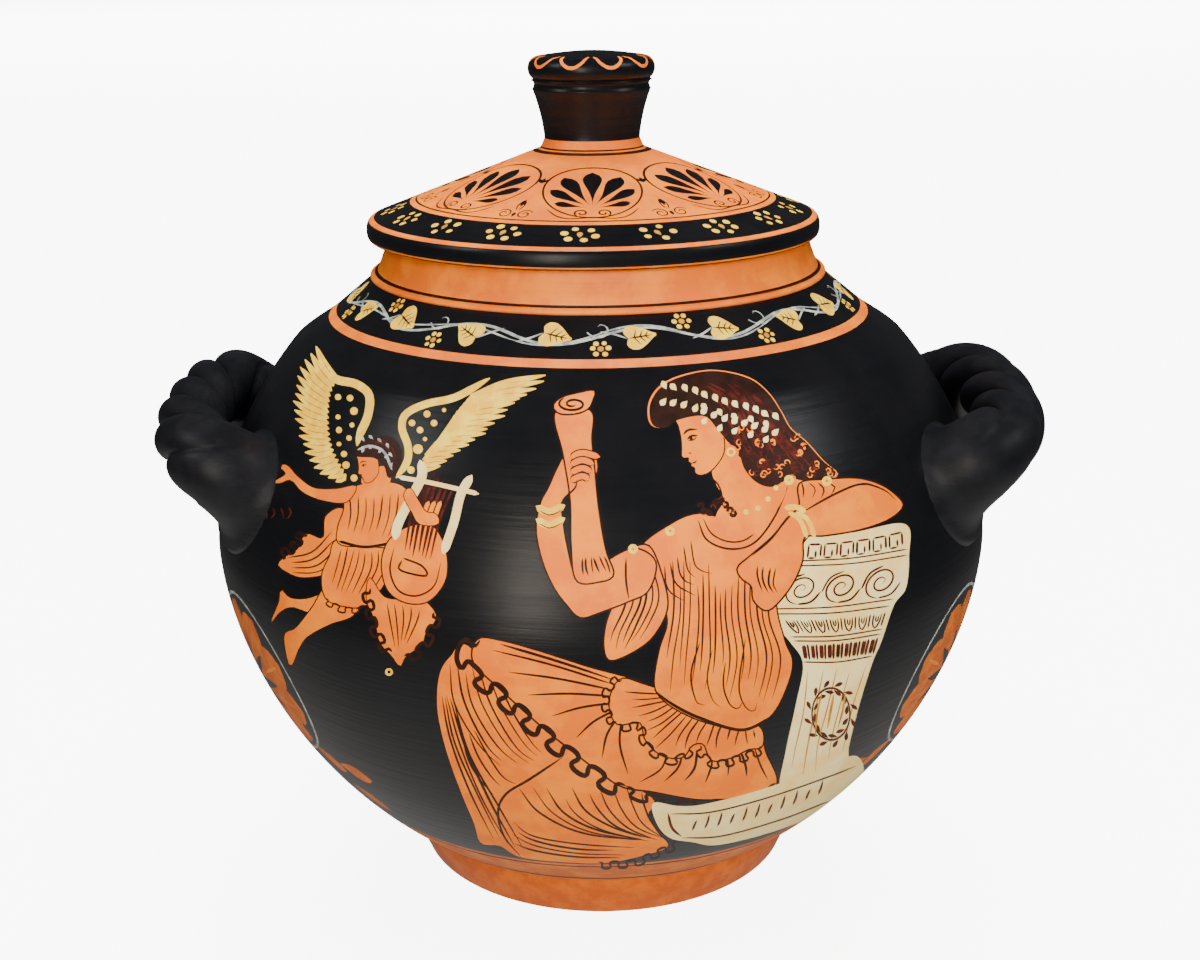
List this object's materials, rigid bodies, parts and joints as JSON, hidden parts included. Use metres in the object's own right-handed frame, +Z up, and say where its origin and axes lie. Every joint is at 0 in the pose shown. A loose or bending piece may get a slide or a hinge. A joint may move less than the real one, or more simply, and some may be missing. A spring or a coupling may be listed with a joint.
{
  "type": "lidded jar",
  "caption": "Round-bellied fired clay jar on a hollow foot, with a low conical knobbed lid, twisted rope handles and red-figure style painting",
  "frame": {"origin": "on the jar's axis, at the surface that its foot stands on", "axes": "+Z up, X through both handles, the painted front faces -Y"},
  "size_m": [0.2563, 0.2274, 0.2407],
  "materials": {
    "black_gloss": "black gloss slip with a soft sheen and fine turning streaks",
    "lid_clay": "terracotta orange clay with painted black bands and palmettes",
    "rope_black": "duller black slip over modelled rope"
  },
  "bodies": {
    "root": {"vessel": "black_gloss", "lid": "lid_clay"}
  },
  "joints": []
}
